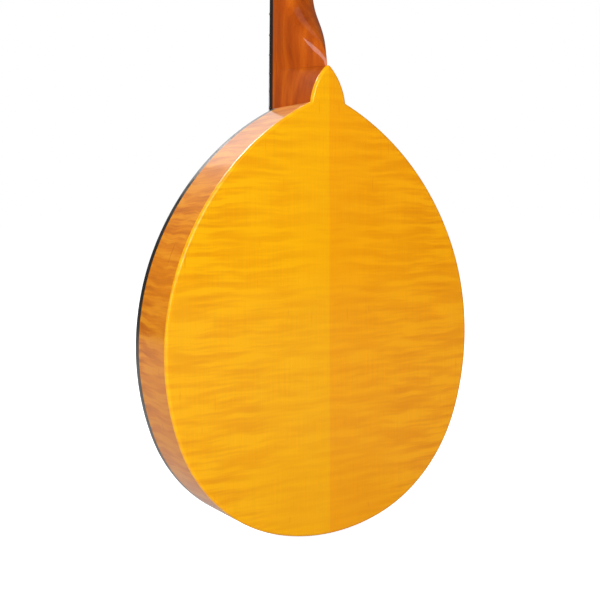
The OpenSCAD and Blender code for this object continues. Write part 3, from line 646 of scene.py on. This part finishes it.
def button_arch():
    """Radius and centre of the button's flank, its lean, and where its tip starts.

    The flank is widest at ARCH_ROOT below the joint and HEEL_HALF_W from the middle at it.
    """
    w, root, tip_r = HEEL_HALF_W, ARCH_ROOT, BUTTON_TIP_R
    rise = BUTTON_LEN - tip_r + root
    k = w * w + rise * rise - root * root - tip_r * tip_r
    spare = w * w - tip_r * tip_r
    radius = (k * tip_r + math.sqrt((k * tip_r) ** 2
                                    + spare * (k * k + 4 * (w * root) ** 2))) / (2 * spare)
    centre = (w - math.sqrt(radius ** 2 - root ** 2), -root)
    lean = math.atan2(rise, -centre[0])
    return radius, centre, lean, centre[1] + radius * math.sin(lean)


FLANK_R, FLANK, LEAN, TIP_START = button_arch()


def button_half_w(h):
    """Half width of the button at a height above the neck joint."""
    if h > BUTTON_LEN:
        return 0
    if h > TIP_START:
        return math.sqrt(max(0, BUTTON_TIP_R ** 2 - (h - BUTTON_LEN + BUTTON_TIP_R) ** 2))
    return FLANK[0] + math.sqrt(FLANK_R ** 2 - (h - FLANK[1]) ** 2)


def tongue_line(inset):
    """Points (x, z) of the button from the neck joint to its tip."""
    start = math.asin(ARCH_ROOT / FLANK_R)
    tip = (0, BUTTON_LEN - BUTTON_TIP_R)
    points = [on_circle(FLANK, FLANK_R - inset, a) for a in spread(start, LEAN, 18)]
    points += [on_circle(tip, BUTTON_TIP_R - inset, a)
               for a in spread(LEAN, math.pi / 2, 10)[1:]]
    return [(max(x, 0.01), JOINT_Z + z) for x, z in points]


def back_half():
    """Rings of the treble half of the back, with its outer edge rounded over."""
    edge_r = 2.6
    support = 0.6                          # width of the flat strip beside the rounded edge
    turn = [(edge_r * (1 - math.cos(a)), BODY_DEPTH - edge_r * (1 - math.sin(a)))
            for a in spread(0, math.pi / 2, 5)]
    profile = [(0.0, RIM_BACK)] + turn + [(edge_r + support, BODY_DEPTH)]
    lines = []
    for inset, y in profile:
        line = rim_line(inset, stop_x=HEEL_HALF_W - inset) + tongue_line(inset)
        lines.append([(x, y, z) for x, z in line])
    rings = []
    for i in range(len(lines[0])):
        ring = [line[i] for line in lines]
        seam_in = (0.01, RIM_BACK, ring[0][2])
        seam_out = (0.01, BODY_DEPTH, ring[-1][2])
        rings.append([seam_in] + ring + [seam_out])
    return rings


def make_back():
    """The two bookmatched halves of the back; the bass half is painted darker and more orange, as
    painted shade for its flame's sheen, which sends less light back from that half.
    """
    yellow = figured_maple("maple_back_treble", srgb(255, 184, 4), srgb(247, 170, 2),
                           srgb(234, 150, 2))
    # Painted shade: the same maple, darker and more orange, for the bass half's flame that throws
    # back less light
    shaded_orange = figured_maple("maple_back_bass", srgb(252, 172, 6), srgb(243, 158, 3),
                           srgb(228, 136, 2))
    rings = back_half()
    dress(skin("back_plate_treble", rings), yellow,
          replaces=["back_treble_half"])
    dress(skin("back_plate_bass", mirrored(rings)), shaded_orange,
          replaces=["back_bass_half"])


def make_rim():
    """The bent sides and the black binding round the edge of the soundboard."""
    rim = figured_maple("maple_rim", srgb(232, 148, 20), srgb(218, 126, 4),
                        srgb(184, 92, 2), rim=True)
    profile = [(0.0, RIM_BACK), (0.0, 45.0), (0.0, 25.0), (0.0, BINDING_H),
               (BINDING_T, BINDING_H), (BINDING_T, SOUNDBOARD_T),
               (SIDE_T, SOUNDBOARD_T), (SIDE_T, RIM_BACK)]
    rings = swept_rim(profile)
    along = path_lengths(rim_line(0.0))
    dress(skin("rim_treble", rings, along=along), rim, replaces=["side_treble"])
    dress(skin("rim_bass", mirrored(rings), along=along), rim,
          replaces=["side_bass"])
    edge_r = 0.8                           # of the binding
    turn = [(edge_r * (1 - math.sin(a)), edge_r * (1 - math.cos(a)))
            for a in spread(0, math.pi / 2, 4)]
    edge = [(0.0, BINDING_H), (BINDING_T, BINDING_H), (BINDING_T, 0.0)] + turn
    rings = swept_rim(edge)
    bm = bmesh.new()
    add_skin(bm, rings)
    add_skin(bm, mirrored(rings))
    dress(finish_mesh("edge_binding", bm), black_gloss("black_binding"),
          replaces=["top_binding"])


# ---- Neck ----

def shaft_depth(h):
    return NECK_T_HEEL + (NECK_T - NECK_T_HEEL) * max(h, 0) / -JOINT_Z


def ease(length, whole):
    """From 0 to 1 as a length runs out."""
    t = min(max(length / whole, 0), 1)
    return t * t * (3 - 2 * t)


def neck_depth(h):
    """Depth of the neck and heel at a height above the neck joint."""
    left = 1 - ease(h - BUTTON_LEN, HEEL_SWEEP)
    return shaft_depth(h) + (RIM_BACK - shaft_depth(h)) * left


def flank_points(half, depth, squareness, flat, steps):
    """Points (x, y) down one flank, from the front to a flat of half width flat."""
    points = []
    for a in spread(0, math.pi / 2, steps):
        run = max(math.cos(a), 0) ** (2 / squareness)
        points.append((max(flat + (half - flat) * run, 0.01),
                       depth * math.sin(a) ** (2 / squareness)))
    return points


def neck_rings():
    """Rings of the neck from the rim of the body to inside the headstock."""
    heights = spread(0, BUTTON_LEN - BUTTON_TIP_R, 12)
    heights += spread(BUTTON_LEN - BUTTON_TIP_R, BUTTON_LEN, 6)[1:]
    heights += [BUTTON_LEN + t for t in spread(0, HEEL_SWEEP, 30)[1:]]
    heights += spread(BUTTON_LEN + HEEL_SWEEP, -JOINT_Z - NUT_BLEND, 20)[1:]
    rings = []
    for h in heights:
        half = (NUT_W + (JOINT_W - NUT_W) * min(JOINT_Z + h, 0) / JOINT_Z) / 2
        squareness = (HEEL_SQUARENESS + (NECK_SQUARENESS - HEEL_SQUARENESS)
                      * ease(h - BUTTON_LEN, HEEL_TURN))
        rings.append(neck_ring(half, neck_depth(h), squareness, button_half_w(h),
                               0, JOINT_Z + h, 0, foot=h == 0))
    # Towards the headstock the section turns square and leans back
    for t in spread(0, 1, 9)[1:]:
        turn = ease(t, 1)
        rings.append(neck_ring(NUT_W / 2, NECK_T,
                               NECK_SQUARENESS + (NUT_SQUARENESS - NECK_SQUARENESS) * turn, 0,
                               0, -NUT_BLEND + t * (NUT_BLEND + NUT_T), turn * HEAD_TILT / 2))
    socket = headstock_matrix() @ Vector((0, NECK_SINK, SOCKET_Z))
    rings.append(neck_ring(NUT_W / 2, HEAD_T - 2 * NECK_SINK, SOCKET_SQUARENESS, 0,
                           socket.y, socket.z, HEAD_TILT))
    return rings


def neck_ring(half, depth, squareness, flat, front_y, front_z, tilt, foot=False):
    """A closed ring across the neck; the foot of the neck follows the rim that it meets."""
    right = []
    for x, y in flank_points(half, depth, squareness, flat, 30):
        drop = rim_rise(x) if foot else 0
        right.append((x, front_y + y * math.cos(tilt), front_z + drop - y * math.sin(tilt)))
    x, y, z = right[-1]
    right += [(x / 2, y, z), (0.01, y, z)]
    return right + [(-x, y, z) for x, y, z in reversed(right)]


def headstock_matrix():
    """Headstock coordinates: z up the headstock, and y = 0 under the veneer."""
    return Matrix.Translation((0, 0, NUT_T)) @ Matrix.Rotation(-HEAD_TILT, 4, "X")


def headstock_line(inset):
    """Points (x, z) round the headstock's plan, counted from the treble side of the nut."""
    half = HEAD_W / 2
    flare_r = (HEAD_W - NUT_W) / 2 + WAIST_INSET + inset
    flare_end = math.acos(-inset / flare_r)
    points = [on_circle((half, 0), flare_r, a) for a in spread(math.pi, flare_end, 18)]
    crown = (0, HEAD_LEN - CROWN_R)
    crown_r = CROWN_R - inset
    corner = math.acos((half - inset) / crown_r)
    points += [on_circle(crown, crown_r, a) for a in spread(corner, math.pi / 2, 16)]
    return points + [(-x, z) for x, z in reversed(points[:-1])]


def headstock_plank(name, sections):
    """A plank in the headstock's plan, through sections of (inset, y)."""
    bm = bmesh.new()
    rings = [[(x, y, z) for x, z in headstock_line(inset)] for inset, y in sections]
    add_skin(bm, rings, place=headstock_matrix())
    return finish_mesh(name, bm)


def post_holes(radius):
    """Cutters for the eight post holes."""
    bm = bmesh.new()
    for k in range(1, 9):
        add_lathe(bm, [(-VENEER_T - 3, radius), (HEAD_T + 3, radius)], "Y",
                  place=at_post(k), sides=40)
    return finish_mesh("post_holes", bm)


def make_neck():
    edge_r = 1.6
    turn = [(edge_r * (1 - math.cos(a)), HEAD_T - edge_r * (1 - math.sin(a)))
            for a in spread(0, math.pi / 2, 4)]
    slab = headstock_plank("headstock_slab", [(0.0, 0.0)] + turn + [(edge_r + 0.5, HEAD_T)])
    neck = skin("neck_and_headstock", neck_rings())
    combine(neck, slab, "UNION")
    combine(neck, post_holes(POST_HOLE_R), "DIFFERENCE")
    dress(neck, mahogany("mahogany"), replaces=["neck"])
    veneer = headstock_plank("headstock_face", [(0.0, 0.0), (0.0, -VENEER_T + 0.5),
                                                (0.15, -VENEER_T + 0.15), (0.5, -VENEER_T)])
    combine(veneer, post_holes(BUSHING_HOLE_R), "DIFFERENCE")
    dress(veneer, EBONY, replaces=["headstock_veneer"])


# ---- Strings ----

def side_of(k):
    return 1 if k <= 4 else -1


def place_of(k):
    return (k - 1) % 4


def at_post(k, mirror=True):
    """Headstock coordinates moved to a tuner's post, with +X away from the middle."""
    flip = side_of(k) if mirror else 1
    post_z = FIRST_POST + place_of(k) * POST_PITCH
    return (headstock_matrix() @ Matrix.Translation((side_of(k) * POST_X, 0, post_z))
            @ Matrix.Diagonal((flip, 1, 1, 1)))


def string_r(k):
    outer = place_of(k) < 2
    if side_of(k) > 0:
        return STRING_RADII[0 if outer else 1]
    return STRING_RADII[3 if outer else 2]


def string_x(k, end):
    """Distance of a string from the middle at the nut (end 0) or the saddle (end 1)."""
    outer = 1 if place_of(k) < 2 else 0
    pair = 0.5 if place_of(k) % 2 == 0 else -0.5
    return side_of(k) * (COURSE_GAPS[end] * (outer + 0.5) + PAIR_GAPS[end] * pair)


def bent(points, reach=1.5, steps=5):
    """The same line with each corner turned through a short curve."""
    line = [points[0]]
    for before, corner, after in zip(points, points[1:], points[2:]):
        start = corner + (before - corner).normalized() * reach
        end = corner + (after - corner).normalized() * reach
        line += [start * (1 - t) ** 2 + corner * 2 * t * (1 - t) + end * t * t
                 for t in spread(0, 1, steps)]
    return line + [points[-1]]


def string_path(k):
    """From the ball end over the saddle and the nut, and once round the post."""
    lip_z = TAIL_Z + TAILPIECE_LEN
    radius = string_r(k)
    winding_r = POST_R + radius + WINDING_GAP
    level = -VENEER_T - WINDING_H
    place = at_post(k)
    route = [
        Vector((string_x(k, 1), -STRING_H_TAIL, lip_z - TAILPIECE_T - BALL_R)),
        Vector((string_x(k, 1), -STRING_H_SADDLE, -SCALE_LEN)),
        Vector((string_x(k, 0), -FINGERBOARD_T - STRING_H_NUT, 0)),
        place @ Vector((-winding_r, level, 0)),
    ]
    wrap = [place @ Vector((winding_r * math.cos(a), level, winding_r * math.sin(a)))
            for a in spread(math.pi, -0.6 * math.pi, 30)[1:]]
    return bent(route) + wrap


def make_strings():
    """The plain and the wound strings, each with the barrel that holds its loop."""
    plain = string_metal("plain_steel", srgb(206, 206, 204), False)
    wound = string_metal("wound_bronze", srgb(198, 160, 110), True)
    brass = metal("ball_brass", srgb(206, 168, 96), srgb(150, 116, 60), 0.25)
    bm_by_kind = {"plain": bmesh.new(), "wound": bmesh.new(), "ball": bmesh.new()}
    for k in range(1, 9):
        path = string_path(k)
        kind = "wound" if side_of(k) < 0 else "plain"
        add_tube(bm_by_kind[kind], path, string_r(k), sides=10)
        ball = Matrix.Translation(path[0])
        half = BALL_W / 2
        add_lathe(bm_by_kind["ball"], [
            (-half, 0.6), (-half, BALL_R - 0.2), (-half + 0.2, BALL_R), (-0.5, BALL_R),
            (-0.3, BALL_R - 0.35), (0.3, BALL_R - 0.35), (0.5, BALL_R),
            (half - 0.2, BALL_R), (half, BALL_R - 0.2), (half, 0.6)], "X", place=ball, sides=24)
    dress(finish_mesh("strings_plain", bm_by_kind["plain"]), plain,
          replaces=["strings"])
    dress(finish_mesh("strings_wound", bm_by_kind["wound"]), wound)
    dress(finish_mesh("string_balls", bm_by_kind["ball"]), brass)


# ---- Tuners ----

def make_post(k, nickel):
    """A string post, waisted where its string is wound on."""
    place = at_post(k)
    top = -VENEER_T - POST_H
    profile = [
        (top, 0.0), (top, 2.3), (top + 0.2, 2.7), (top + 0.7, POST_R), (top + 2.2, POST_R),
        (top + 2.6, POST_R - 0.15), (-VENEER_T - 1.5, POST_R - 0.15), (-VENEER_T - 1.2, POST_R),
        (GEAR_Y, POST_R), (GEAR_Y, GEAR_BORE_R), (GEAR_Y + GEAR_T, GEAR_BORE_R),
        (GEAR_Y + GEAR_T, 0.0)]
    bm = bmesh.new()
    add_lathe(bm, profile, "Y", place=place)
    radius = string_r(k)
    winding_r = POST_R + radius + WINDING_GAP
    start = -VENEER_T - WINDING_H - 2.12 * radius - 0.15
    coil = []
    for t in spread(0, STRING_TURNS, STRING_TURNS * 28):
        a = math.pi - 2 * math.pi * t
        coil.append((winding_r * math.cos(a), start - 2.04 * radius * t, winding_r * math.sin(a)))
    # The string's end goes into the post
    last = coil[-1]
    coil += [(last[0] * s, last[1] - radius * 0.6, last[2] * s + 0.4) for s in (0.8, 0.45, 0.1)]
    add_tube(bm, coil, radius, sides=8, place=place)
    return dress(finish_mesh(f"string_post_{k}", bm), nickel, body=f"post_{k}",
                 replaces=[f"tuner_post_{k}"])


def make_worm(k, brass):
    """A worm on its shaft, with a right-handed thread that meshes with its gear at rest."""
    place = at_post(k) @ Matrix.Translation((0, WORM_Y, -GEAR_DROP))
    right = BRACKET_X + BRACKET_T
    left = -right
    end = BUTTON_START + BUTTON_GRIP
    profile = [
        (left - 0.5, 0.0), (left - 0.5, SHAFT_R - 0.2), (left - 0.3, SHAFT_R),
        (-THREAD_HALF - COLLAR_T, SHAFT_R), (-THREAD_HALF - COLLAR_T, COLLAR_R),
        (-THREAD_HALF, COLLAR_R), (-THREAD_HALF, WORM_CORE_R),
        (THREAD_HALF, WORM_CORE_R), (THREAD_HALF, COLLAR_R),
        (THREAD_HALF + COLLAR_T, COLLAR_R), (THREAD_HALF + COLLAR_T, SHAFT_R),
        (right + 0.6, SHAFT_R), (right + 0.6, SHAFT_R + 0.6), (right + 1.4, SHAFT_R + 0.9),
        (right + 2.2, SHAFT_R + 0.6), (right + 2.2, SHAFT_R), (end, SHAFT_R), (end, 0.0)]
    bm = bmesh.new()
    add_lathe(bm, profile, "X", place=place, sides=40)
    # The thread isn't mirrored, so it is drawn in coordinates that aren't either
    screw = at_post(k, mirror=False) @ Matrix.Translation((0, WORM_Y, -GEAR_DROP))
    lead = math.pi * TOOTH_MODULE
    root_half, tip_half = 0.78, 0.2
    tip_r = WORM_R + TOOTH_MODULE - 0.05
    reach = THREAD_HALF - root_half - 0.05
    first = (-reach / lead - 0.25) * 2 * math.pi
    last = (reach / lead - 0.25) * 2 * math.pi
    rings = []
    for a in spread(first, last, 180):
        x = lead * (0.25 + a / (2 * math.pi))
        rings.append([
            (x + dx, r * math.cos(a), r * math.sin(a))
            for dx, r in ((-root_half, WORM_CORE_R - 0.1), (-tip_half, tip_r),
                          (tip_half, tip_r), (root_half, WORM_CORE_R - 0.1))])
    add_skin(bm, rings, place=screw)
    return dress(finish_mesh(f"worm_shaft_{k}", bm), brass, body=f"knob_{k}",
                 replaces=[f"tuner_worm_{k}"])


def button_line(inset):
    """Points (x, z) round a tuner button's rounded outline."""
    radius = BUTTON_CORNER_R - inset
    left = BUTTON_START + BUTTON_NECK + BUTTON_CORNER_R
    right = BUTTON_START + BUTTON_NECK + BUTTON_L - BUTTON_CORNER_R
    up = BUTTON_W / 2 - BUTTON_CORNER_R
    points = []
    for x, z, start in ((right, up, 0), (left, up, 1), (left, -up, 2), (right, -up, 3)):
        quarter = math.pi / 2
        points += [on_circle((x, z), radius, a)
                   for a in spread(start * quarter, (start + 1) * quarter, 8)]
    return points


def make_button(k, shell):
    """A pearl button with rounded edges and its ferrule."""
    place = at_post(k) @ Matrix.Translation((0, WORM_Y, -GEAR_DROP))
    half, edge_r = BUTTON_T / 2, 2.6
    turn = [(edge_r * (1 - math.cos(a)), (half - edge_r * 0.9) + edge_r * 0.9 * math.sin(a))
            for a in spread(0, math.pi / 2, 6)]
    upper = turn + [(3.6, half), (4.6, half)]
    sections = [(inset, -y) for inset, y in reversed(upper)] + upper
    bm = bmesh.new()
    add_skin(bm, [[(x, y, z) for x, z in button_line(inset)] for inset, y in sections],
             place=place)
    add_lathe(bm, [(BUTTON_START, 1.8), (BUTTON_START, 2.7), (BUTTON_START + 0.4, 3.1),
                   (BUTTON_START + 2.6, 3.1), (BUTTON_START + 3.4, 2.6),
                   (BUTTON_START + 4.0, 1.8)], "X", place=place)
    return dress(finish_mesh(f"pearl_button_{k}", bm), shell, body=f"knob_{k}",
                 replaces=[f"tuner_button_{k}"])


def make_tuners():
    nickel = metal("nickel", srgb(214, 208, 198), srgb(170, 162, 150), 0.16)
    brass = metal("worm_brass", srgb(214, 172, 92), srgb(150, 112, 56), 0.24)
    shell = pearl("button_pearl", 160.0)
    for k in range(1, 9):
        make_post(k, nickel)
        make_worm(k, brass)
        make_button(k, shell)
    dress_cad([f"tuner_gear_{k}" for k in range(1, 9)], brass, bevel=0.08)
    dress_cad(["tuner_plates", "post_bushings", "plate_screws"], nickel, bevel=0.15)


# ---- Everything else keeps its CAD mesh ----

EBONY = plain_wood("ebony", srgb(44, 36, 32), srgb(18, 14, 12), roughness=0.42, coat=0.1)


def dress_the_rest():
    hole_low, hole_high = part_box("rosette")
    hole_z = (hole_low.z + hole_high.z) / 2 / MM
    steel = metal("fret_steel", srgb(204, 200, 194), srgb(160, 154, 146), 0.2,
                  (20.0, 500.0, 500.0))
    inner = plain_wood("inner_spruce", srgb(222, 186, 132), srgb(184, 140, 86))
    block = plain_wood("inner_mahogany", srgb(150, 90, 52), srgb(104, 56, 28))
    dress_cad(["soundboard"], spruce())
    dress_cad(["rosette"], rosette_inlay(hole_z))
    dress_cad(["fingerboard"], EBONY, bevel=0.3)
    dress_cad(["frets"], steel)
    dress_cad(["position_dots"], pearl("dot_pearl", 300.0))
    dress_cad(["nut", "saddle"], bone(), bevel=0.2)
    dress_cad(["bridge"], plain_wood("rosewood", srgb(96, 54, 32), srgb(44, 22, 14),
                                     stretch=(14.0, 260.0, 260.0), roughness=0.4, coat=0.3),
              bevel=0.6)
    dress_cad(["tailpiece"], metal("tailpiece_nickel", srgb(216, 211, 202), srgb(172, 166, 154),
                                   0.18, (500.0, 500.0, 40.0)), bevel=0.3)
    dress_cad(["end_pin"], EBONY, bevel=0.3)
    dress_cad(["back_seam_strip", "back_braces", "soundboard_braces", "linings"], inner)
    dress_cad(["neck_block", "tail_block"], block)
    dress_cad(["truss_rod"], steel)


# ---- Studio ----

def make_camera():
    """The photograph's own angle: low, from behind and well to the treble side."""
    camera = bpy.data.objects.new("camera", bpy.data.cameras.new("camera"))
    bpy.context.scene.collection.objects.link(camera)
    yaw, pitch, roll = math.radians(32.32), math.radians(-5.31), math.radians(-0.25)
    heading = Vector((-math.sin(yaw) * math.cos(pitch), -math.cos(yaw) * math.cos(pitch),
                      math.sin(pitch)))
    turn = heading.to_track_quat("-Z", "Y").to_matrix().to_4x4()
    camera.matrix_world = (Matrix.Translation((0.5497, 0.8818, -0.4735)) @ turn
                           @ Matrix.Rotation(roll, 4, "Z"))
    camera.data.sensor_width = 36
    camera.data.lens = 61.32
    camera.data.clip_start, camera.data.clip_end = 0.01, 100
    bpy.context.scene.camera = camera


def area_light(name, location, target, size, power):
    """A white softbox of a size in metres and a power in watts, turned to a target."""
    light = bpy.data.lights.new(name, "AREA")
    light.shape = "RECTANGLE"
    light.size, light.size_y = size
    light.energy = power
    lamp = bpy.data.objects.new(name, light)
    bpy.context.scene.collection.objects.link(lamp)
    lamp.location = location
    lamp.rotation_euler = (Vector(target) - Vector(location)).to_track_quat("-Z", "Y").to_euler()


def make_backdrop():
    """A world that is white to the eye and dark grey as a light."""
    world = bpy.data.worlds.new("studio")
    world.use_nodes = True
    bpy.context.scene.world = world
    tree = world.node_tree
    background = tree.nodes["Background"]
    seen = tree.nodes.new("ShaderNodeLightPath").outputs["Is Camera Ray"]
    level = tree.nodes.new("ShaderNodeMapRange")
    level.inputs["To Min"].default_value = 0.1
    level.inputs["To Max"].default_value = 1.0
    tree.links.new(seen, level.inputs["Value"])
    tree.links.new(level.outputs[0], background.inputs["Strength"])
    background.inputs["Color"].default_value = (1, 1, 1, 1)


def make_lights():
    middle = (cad_box[0] + cad_box[1]) / 2
    body_middle = (0, 0.03, -0.6)
    # The back, the treble rim, the gleam on its shoulder, the soundboard, and the tops
    area_light("key", (1.1, 2.6, 0.7), body_middle, (1.4, 1.4), 69)
    area_light("side", (2.4, 0.7, -0.1), body_middle, (1.1, 1.6), 26)
    area_light("rim_gleam", (-0.7, -2.3, 0.8), body_middle, (1.6, 1.6), 7)
    area_light("front", (0.3, -2.1, 1.5), body_middle, (0.9, 0.9), 55)
    area_light("overhead", (0.0, 0.2, 2.4), middle, (1.6, 1.6), 4)


def floor_paper():
    """Pale paper that glows to the eye, so that it runs into the backdrop without a line."""
    paper = Paint("pale_floor", Roughness=0.9)
    tone = paper.noise(paper.scaled(3.0, 3.0, 3.0), detail=2.0)
    paper.set("Base Color", paper.mix(tone, (0.56, 0.56, 0.56, 1), (0.6, 0.6, 0.6, 1)))
    glow = paper.add("ShaderNodeLightPath").outputs["Is Camera Ray"]
    paper.set("Emission Color", (1, 1, 1, 1))
    paper.set("Emission Strength", paper.math("MULTIPLY", glow, 0.97))
    return paper.material


def make_floor():
    reach = 15                             # half width of the floor in metres
    height = cad_box[0].z - MM
    mesh = bpy.data.meshes.new("floor")
    mesh.from_pydata([(-reach, -reach, height), (reach, -reach, height),
                      (reach, reach, height), (-reach, reach, height)], [],
                     [(0, 1, 2, 3)])
    floor = bpy.data.objects.new("floor", mesh)
    bpy.context.scene.collection.objects.link(floor)
    floor.data.materials.append(floor_paper())


def make_studio():
    bpy.context.scene.view_settings.view_transform = "Standard"
    bpy.context.scene.view_settings.look = "None"
    make_backdrop()
    make_lights()
    make_floor()


make_camera()
make_back()
make_rim()
make_neck()
make_strings()
make_tuners()
dress_the_rest()
make_studio()
